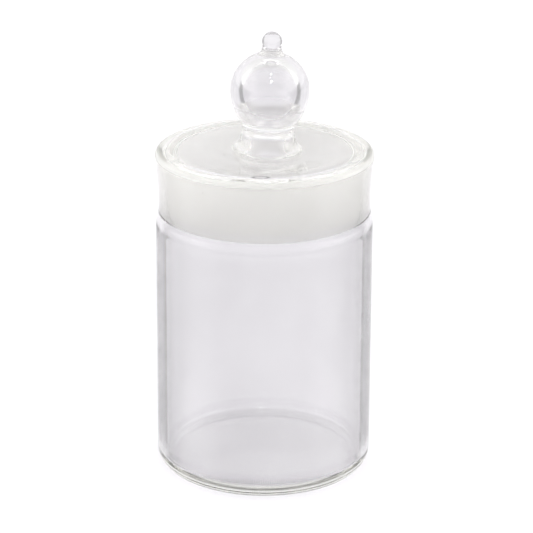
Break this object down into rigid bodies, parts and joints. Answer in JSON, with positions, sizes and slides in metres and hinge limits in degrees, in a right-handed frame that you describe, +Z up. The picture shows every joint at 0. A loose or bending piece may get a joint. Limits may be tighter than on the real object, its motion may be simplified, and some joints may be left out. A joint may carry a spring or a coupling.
{
  "type": "specimen jar",
  "caption": "Round clear glass specimen jar with a flat base, a ground neck and a hollow ground-in stopper that lifts off by its blown round knob.",
  "frame": {"origin": "centre of the jar's foot, on the surface that it stands on", "axes": "+Z up along the jar's axis, towards the knob; the knob leans slightly towards +X"},
  "size_m": [0.0753, 0.0752, 0.1569],
  "materials": {
    "clear_glass": "clear, fire-polished",
    "ground_glass": "frosted by grinding"
  },
  "bodies": {
    "jar": {"base_disc": "clear_glass", "body_tube": "clear_glass", "neck_collar": "ground_glass"},
    "stopper": {"stopper_plug": "ground_glass", "stopper_cover": "clear_glass", "knob_bulb": "clear_glass", "knob_tip": "clear_glass"}
  },
  "joints": [
    {"name": "stopper_lift", "type": "slide", "parent": "jar", "child": "stopper", "axis": [0, 0, 1], "range_m": [0, 0.06]}
  ]
}
